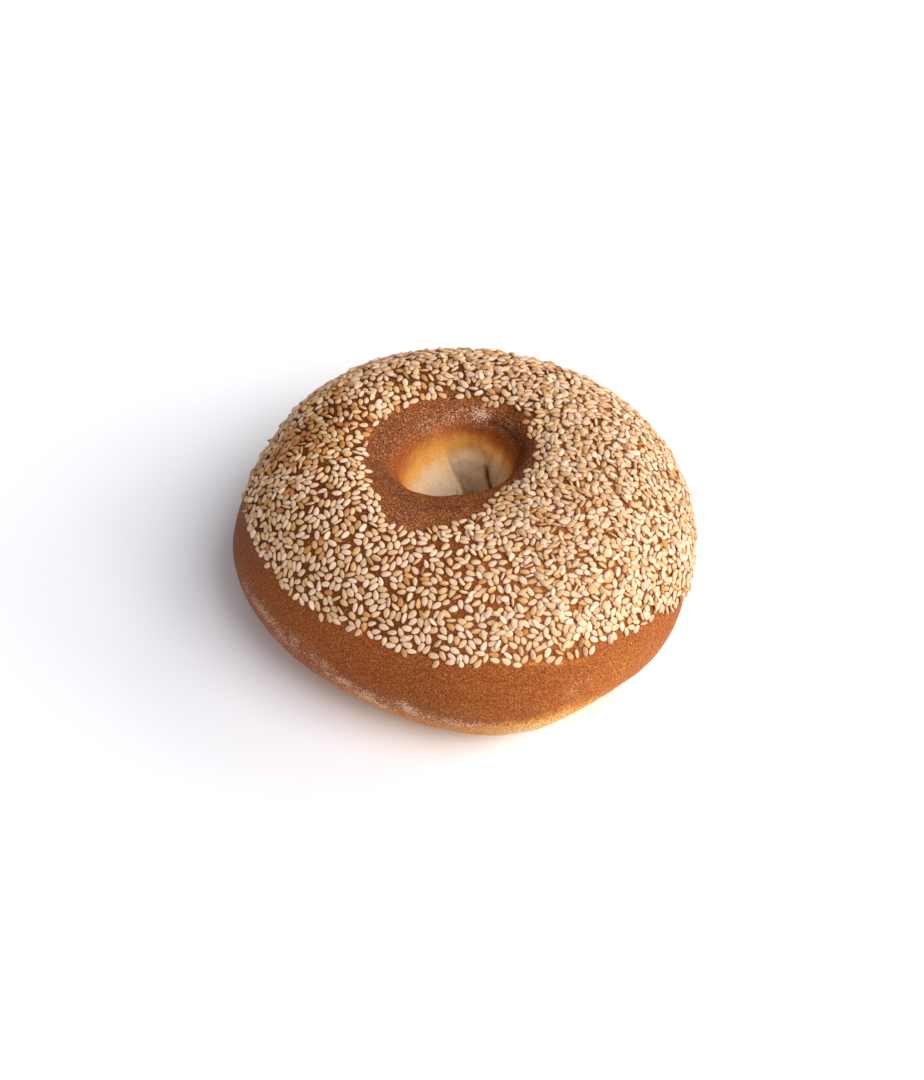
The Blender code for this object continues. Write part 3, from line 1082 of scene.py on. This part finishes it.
@dataclass
class SeedPile:
    """The seeds that lie on the crust so far, and how a further one comes to rest on them."""

    crust: BVHTree
    room: int = 6000
    reach: float = 3.4 * MM
    sink: float = 0.10 * MM
    start: float = 4.0 * MM
    wobble: float = 2.5
    tilt_cost: float = 0.10
    edge_lift: float = 0.55
    leans: tuple[float, ...] = (-32, -24, -16, -9, -4, 0, 4, 9, 16, 24, 32)
    rolls: tuple[float, ...] = (-48, -36, -26, -18, -10, -4, 0, 4, 10, 18, 26, 36, 48)
    count: int = 0

    def __post_init__(self) -> None:
        """Make room for the seeds, the spots that are felt under a seed and its trial tilts."""
        self.grid = CellGrid(self.reach)
        self.middles = np.zeros((self.room, 3))
        self.turns = np.zeros((self.room, 3, 3))
        self.halves = np.zeros((self.room, 3))
        ends = [(s, 0.0) for s in (-0.9, -0.5, 0.0, 0.5, 0.9)]
        sides = [(0.0, s) for s in (-0.92, -0.55, 0.55, 0.92)]
        self.spots = np.array([*ends, *sides, *product((-0.6, 0.6), repeat=2)])
        self.under = np.sqrt(np.maximum(0.0, 1.0 - (self.spots**2).sum(1)))
        self.tilts = np.array(list(product(np.radians(self.leans), np.radians(self.rolls))))

    def near(self, point: Array) -> Array:
        """Return the numbers of the seeds that lie within reach of a point."""
        found = self.grid.near(point)
        return found[np.linalg.norm(self.middles[found] - point, axis=1) < self.reach]

    def rest(self, point: Array, turn: Array, half: Array) -> tuple[float, float, float]:
        """Let a seed down until it rests.

        Args:
            point: Where it comes down on the crust.
            turn: Its axes, as columns: along, across and up.
            half: Half its length, width and thickness.

        Returns:
            The height of its middle over the crust, and its lean and its roll in radians.
        """
        along, across, up = turn.T
        places = point + self.spots[:, :1] * half[0] * along + self.spots[:, 1:] * half[1] * across
        top = self.start
        heights = np.full(len(places), -half[0])
        for i, place in enumerate(places):
            _, _, _, fall = self.crust.ray_cast(Vector(place + up * top), Vector(-up), 2.0 * top)
            if fall is not None:
                heights[i] = top - fall
        found = self.near(point)
        if len(found):
            turns, middles, halves = self.turns[found], self.middles[found], self.halves[found]
            start = np.einsum("pk,nkj->npj", places + up * top, turns)
            start = (start - np.einsum("nk,nkj->nj", middles, turns)[:, None]) / halves[:, None]
            way = np.einsum("k,nkj->nj", -up, turns) / halves
            a = (way**2).sum(1)[:, None]
            b = (start * way[:, None]).sum(2)
            inside = b * b - a * ((start**2).sum(2) - 1.0)
            fall = (-b - np.sqrt(np.maximum(inside, 0.0))) / a
            tops = np.where(inside > 0.0, top - fall, -half[0])
            heights = np.maximum(heights, tops.max(0))
        slope = np.tan(self.tilts)
        raised = heights[None] + self.under[None] * half[2]
        raised = raised - self.spots[None, :, 0] * half[0] * slope[:, :1]
        levels = (raised - self.spots[None, :, 1] * half[1] * slope[:, 1:]).max(1)
        best = int((levels + self.tilt_cost * half[2] * np.abs(self.tilts).sum(1)).argmin())
        return float(levels[best]), float(self.tilts[best, 0]), float(self.tilts[best, 1])

    def drop(
        self,
        place: Array,
        up: Array,
        along: Array,
        half: Array,
        slack: float,
        chance: Chance,
        edge: float = 0.0,
    ) -> None:
        """Let one seed down and keep it if it comes to rest low enough.

        Args:
            place: Where it comes down on the crust.
            up: The way the crust faces there.
            along: The way the seed points.
            half: Half its length, width and thickness.
            slack: How much higher than flat on the crust it may lie.
            chance: The source of chance.
            edge: How far it is rolled on its edge, in radians.
        """
        if self.count == self.room:
            return
        turn = np.column_stack((along, np.cross(up, along), up))
        level, lean, roll = self.rest(place, turn, half)
        if level > half[2] + slack:
            return
        wobble = chance.normal(0.0, math.radians(self.wobble), 2)
        tilt = Matrix.Rotation(wobble[0] - lean, 3, "Y") @ Matrix.Rotation(roll + wobble[1] + edge, 3, "X")
        lift = self.edge_lift * half[1] * abs(math.sin(edge))
        middle = place + up * (level - self.sink + lift)
        self.middles[self.count] = middle
        self.turns[self.count] = turn @ np.array(tilt)
        self.halves[self.count] = half
        self.grid.add(middle, self.count)
        self.count += 1


@dataclass
class Seeds:
    """All of the bagel's sesame seeds, laid on its crust.

    Lengths, widths and thicknesses are a mean and a spread, in millimetres. Seeds fall where the
    cover's inset is past seeded, and are bedded past bedded. A share and a slack in millimetres of
    the leaning seeds are their least and what heaping adds. Each row of kind_shares is a kind,
    the brownest first: its share and what the toasted parts and the back add to it.
    """

    seed: int = 20
    length: tuple[float, float] = (2.94, 0.20)
    width: tuple[float, float] = (1.72, 0.14)
    thickness: tuple[float, float] = (0.76, 0.08)
    smallest: float = 0.3 * MM
    largest: float = 1.62 * MM
    rolled: float = 0.18
    roll_angles: tuple[float, float] = (25.0, 65.0)
    headings: int = 6
    squeeze: float = 0.38 * MM
    shoves: int = 44
    falls: int = 22000
    leaning_falls: int = 7000
    flat_slack: float = 0.42 * MM
    tone_spread: float = 0.85
    browned_tone: float = 0.6
    seeded: float = -2.0
    bedded: float = -1.0
    leaning_share: tuple[float, float] = (0.26, 0.74)
    leaning_slack: tuple[float, float] = (0.32, 0.44)
    browned: tuple[Patch, ...] = (Patch((-43, 18, 50), 12.5), Patch((-58, 2, 40), 14, 0.35))
    back: Patch = Patch((-25, 45, 45), 34)
    kind_shares: tuple[tuple[float, float, float], ...] = (
        (0.01, 0.24, 0.0),
        (0.14, 0.70, 0.12),
        (0.55, 0.4, 0.15),
    )
    shapes: tuple[SeedShape, ...] = (
        SeedShape(),
        SeedShape(taper=0.24, pinch=0.26, arch=0.14),
        SeedShape(taper=0.12, pinch=0.14, arch=0.05, flatness=0.70),
        SeedShape(taper=0.28, pinch=0.22, arch=-0.08),
        SeedShape(taper=0.14, pinch=0.10, arch=0.18, flatness=0.52),
    )
    cover: SeedCover = SeedCover()

    def build(self, crust: bpy.types.Object) -> list[bpy.types.Object]:
        """Lay the seeds and make one piece of each kind.

        Args:
            crust: The finished crust.

        Returns:
            The pieces, one for each toasting.
        """
        chance = np.random.default_rng(self.seed)
        pile = self._lay(crust, chance)
        count = pile.count
        kinds = self._toasting(pile.middles[:count], chance)
        tones = self.tone_spread * chance.random(count)
        tones += self.browned_tone * self._browning(pile.middles[:count])
        forms = chance.integers(len(self.shapes), size=count)
        pieces = []
        for number, toasting in enumerate(Toasting):
            chosen = np.flatnonzero(kinds == number)
            pieces.append(self._piece(toasting, pile, chosen, tones, forms))
        return pieces

    def _fall(self, crust: bpy.types.Object, count: int, chance: Chance) -> tuple[Array, Array]:
        """Return random points of the seeded crust and the way its surface faces there."""
        mesh = crust.data
        mesh.calc_loop_triangles()
        corners = read(mesh.loop_triangles, "vertices", 3, int)
        triangles = read(mesh.vertices, "co")[corners]
        facing = read(mesh.vertices, "normal")[corners].mean(1)
        near = self.cover.inset(triangles.mean(1)) > self.seeded
        triangles, facing = triangles[near], facing[near]
        a, b, c = triangles.transpose(1, 0, 2)
        area = np.linalg.norm(np.cross(b - a, c - a), axis=1)
        picks = chance.choice(len(area), size=count, p=area / area.sum())
        share = np.sqrt(chance.random(count))[:, None], chance.random(count)[:, None]
        a, b, c = a[picks], b[picks], c[picks]
        places = a * (1.0 - share[0]) + b * share[0] * (1.0 - share[1]) + c * share[0] * share[1]
        return places, unit(facing[picks])

    def _lay(self, crust: bpy.types.Object, chance: Chance) -> SeedPile:
        """Lay the seeds: first a packed layer on the crust, then those that lean on it."""
        tree = BVHTree.FromObject(crust, bpy.context.evaluated_depsgraph_get())
        places, facing = self._fall(crust, self.falls, chance)
        kept = self.cover.density(places) > chance.random(len(places))
        bed = self._spread(places[kept], facing[kept], chance)
        bed.settle(tree, self.shoves)
        pile = SeedPile(tree)
        for i in np.flatnonzero(self.cover.inset(bed.places) > self.bedded):
            lying = bed.places[i], bed.facing[i], bed.along[i], bed.sizes[i]
            pile.drop(*lying, self.flat_slack, chance, bed.rolls[i])
        LOG.info("seeds on the crust: %d of %d", pile.count, len(bed.places))
        places, facing = self._fall(crust, self.leaning_falls, chance)
        heap = self.cover.heaping(places)
        least, more = self.leaning_share
        kept = self.cover.density(places) * (least + more * heap) > chance.random(len(places))
        places, facing, heap = places[kept], facing[kept], heap[kept]
        halves = self._halves(len(places), chance)
        along = self._headings(facing, chance)
        least, more = self.leaning_slack
        for i in range(len(places)):
            slack = (least + more * heap[i]) * MM
            pile.drop(places[i], facing[i], along[i], halves[i], slack, chance)
        LOG.info("seeds in all: %d", pile.count)
        return pile

    def _halves(self, count: int, chance: Chance) -> Array:
        """Return half the length, width and thickness of each of count seeds."""
        sizes = (self.length, self.width, self.thickness)
        halves = 0.5 * MM * np.column_stack([chance.normal(*size, size=count) for size in sizes])
        return np.clip(halves, self.smallest, self.largest)

    @staticmethod
    def _headings(facing: Array, chance: Chance) -> Array:
        """Return a random direction along the crust for each way that it faces."""
        return unit(np.cross(facing, chance.normal(size=facing.shape)))

    def _spread(self, places: Array, facing: Array, chance: Chance) -> SeedBed:
        """Keep those fallen seeds that find nearly enough room in one of several headings.

        Args:
            places: Where they fall.
            facing: The way the crust faces there.
            chance: The source of chance.

        Returns:
            The bed of the kept ones, which still overlap a little.
        """
        count = len(places)
        sizes = self._halves(count, chance)
        rolls = chance.uniform(*np.radians(self.roll_angles), count) * chance.choice((-1.0, 1.0), count)
        rolls[chance.random(count) > self.rolled] = 0.0
        halves = sizes.copy()
        halves[:, 1] = sizes[:, 1] * np.cos(rolls) + sizes[:, 2] * np.abs(np.sin(rolls))
        along = self._headings(facing, chance)
        turns = np.arange(self.headings) * math.tau / self.headings
        parts = (places, facing, along, halves, sizes, rolls)
        fallen = SeedBed(*parts)
        grid = CellGrid(fallen.reach)
        kept = []
        for i in range(count):
            across = np.cross(facing[i], along[i])
            ways = np.cos(turns)[:, None] * along[i] + np.sin(turns)[:, None] * across
            fits = fallen.gaps(i, ways, grid.near(places[i])) > -self.squeeze
            if fits.any():
                along[i] = ways[int(fits.argmax())]
                grid.add(places[i], i)
                kept.append(i)
        return SeedBed(*(part[kept] for part in parts))

    def _browning(self, points: Array) -> Array:
        """Return how far each point lies in the toasted parts, from 0 to 1."""
        return np.minimum(patched(self.browned, points), 1.0)

    def _toasting(self, middles: Array, chance: Chance) -> Array:
        """Return the number of each seed's kind: browner where the crust is toasted."""
        draw = chance.random(len(middles)) - 0.10 * ripple(middles, 9.0 * MM, 41.0)
        patch, back = self._browning(middles), self.back.at(middles)
        kinds = [draw < share + more * patch + behind * back for share, more, behind in self.kind_shares]
        return np.select(kinds, [3, 2, 1], 0)

    def _piece(
        self, toasting: Toasting, pile: SeedPile, chosen: Array, tones: Array, forms: Array
    ) -> bpy.types.Object:
        """Join the seeds of one kind in one mesh.

        Args:
            toasting: The kind.
            pile: All seeds, where they lie.
            chosen: The numbers of this kind's seeds.
            tones: How deep each seed's own colour is.
            forms: Which shape each seed has.

        Returns:
            The finished piece.
        """
        moulds = [shape.build() for shape in self.shapes]
        side, margin = math.ceil(math.sqrt(len(chosen))), 0.06
        corners, faces, charts, tone, length, edge_shade = [], [], [], [], [], []
        first = 0
        for cell, number in enumerate(chosen):
            form, form_faces, form_charts = moulds[forms[number]]
            placed = (form * pile.halves[number]) @ pile.turns[number].T + pile.middles[number]
            corners.append(placed)
            faces += [tuple(first + corner for corner in face) for face in form_faces]
            place = np.array((cell % side, cell // side))
            charts.append((place + margin + (1.0 - 2.0 * margin) * np.array(form_charts)) / side)
            tone.append(np.full(len(form), tones[number]))
            length.append(form[:, 0])
            # Painted shade on each seed: 1 at its edge, 0 in the middle of its flat faces.
            edge_shade.append(1.0 - np.abs(form[:, 2]) / np.abs(form[:, 2]).max())
            first += len(form)
        mesh = bpy.data.meshes.new(toasting.value + "_seeds")
        mesh.from_pydata(np.concatenate(corners), [], faces)
        lay_flat(mesh, np.concatenate(charts))
        numbers = {"seed_tone": tone, "seed_length": length, "seed_edge_shade": edge_shade}
        carry(mesh, {name: np.concatenate(values) for name, values in numbers.items()})
        mesh.shade_smooth()
        mesh.materials.append(SEED_FINISHES[toasting].material())
        piece = put(toasting.value + "_seeds", mesh)
        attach(piece, BODY)
        LOG.info("%s: %d seeds", piece.name, len(chosen))
        return piece


@dataclass(frozen=True)
class Lamp:
    """A broad, far lamp: where it stands, seen from the bagel, and how strong and wide it is."""

    name: str
    azimuth: float
    elevation: float
    power: float
    colour: Colour = (1.0, 1.0, 1.0)
    width: float = 42.0

    def build(self) -> None:
        """Hang the lamp."""
        light = bpy.data.lights.new(self.name, "SUN")
        light.energy = self.power
        light.angle = math.radians(self.width)
        light.color = self.colour
        lamp = put(self.name, light)
        round_about, rise = math.radians(self.azimuth), math.radians(self.elevation)
        flat = math.cos(rise)
        lamp.location = (flat * math.cos(round_about), flat * math.sin(round_about), math.sin(rise))
        lamp.rotation_euler = lamp.location.to_track_quat("Z", "Y").to_euler()


@dataclass(frozen=True)
class Studio:
    """The floor, the light and the camera."""

    floor_half: float = 12.0
    camera_rise: float = 47.0
    camera_distance: float = 0.92
    camera_target: float = 0.024
    camera_lens: float = 107.9
    sensor_width: float = 36.0
    farthest: float = 50.0
    fill: Colour = (0.97, 0.95, 1.0)
    fill_strength: float = 0.17
    backdrop_strength: float = 1.0
    lamps: tuple[Lamp, ...] = (
        Lamp("front_right", -40, 50, 1.95, (0.98, 0.98, 1.04)),
        Lamp("front", -80, 50, 1, (0.97, 0.98, 1.06)),
        Lamp("low_right", -2, 15, 1.7, (1, 0.95, 0.86)),
        Lamp("low_front_right", -30, 15, 1, (1, 0.96, 0.90)),
        Lamp("back_right", 30, 30, 0.7),
        Lamp("left", 180, 50, 0.05),
    )

    def build(self) -> None:
        """Set the studio up."""
        self._lay_floor()
        for lamp in self.lamps:
            lamp.build()
        self._fill_sky()
        self._set_camera()

    def _lay_floor(self) -> None:
        """Lay a white floor at the height that the bagel rests on."""
        bm = bmesh.new()
        bmesh.ops.create_grid(bm, x_segments=2, y_segments=2, size=self.floor_half)
        mesh = bpy.data.meshes.new("floor")
        bm.to_mesh(mesh)
        bm.free()
        mesh.materials.append(FloorFinish().material())
        floor = put("floor", mesh)

    def _fill_sky(self) -> None:
        """Light everything softly from all round."""
        world = bpy.data.worlds.new("white_room")
        world.use_nodes = True
        tree = world.node_tree
        background = tree.nodes["Background"]
        background.inputs["Color"].default_value = (*self.fill, 1.0)
        rays = tree.nodes.new("ShaderNodeLightPath")
        strength = tree.nodes.new("ShaderNodeMapRange")
        strength.inputs["To Min"].default_value = self.fill_strength
        strength.inputs["To Max"].default_value = self.backdrop_strength
        tree.links.new(rays.outputs["Is Camera Ray"], strength.inputs["Value"])
        tree.links.new(strength.outputs["Result"], background.inputs["Strength"])
        bpy.context.scene.world = world

    def _set_camera(self) -> None:
        """Aim the camera at the bagel."""
        camera = bpy.data.cameras.new("camera")
        camera.lens = self.camera_lens
        camera.sensor_width = self.sensor_width
        camera.clip_end = self.farthest
        holder = put("camera", camera)
        rise = math.radians(self.camera_rise)
        back, up = self.camera_distance * math.cos(rise), self.camera_distance * math.sin(rise)
        holder.location = (0.0, -back, self.camera_target + up)
        holder.rotation_euler = (math.pi / 2.0 - rise, 0.0, 0.0)
        bpy.context.scene.camera = holder


def main() -> None:
    """Build the bagel's looks and the studio round it."""
    logging.basicConfig(level=logging.INFO, format="%(name)s: %(message)s")
    crust = Crust().build(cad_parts[BREAD_NODE])
    LOG.info("%s: %d faces", crust.name, len(crust.data.polygons))
    Seeds().build(crust)
    Studio().build()
    scene = bpy.context.scene
    scene.view_settings.view_transform = "Standard"


if __name__ == "__main__":
    main()
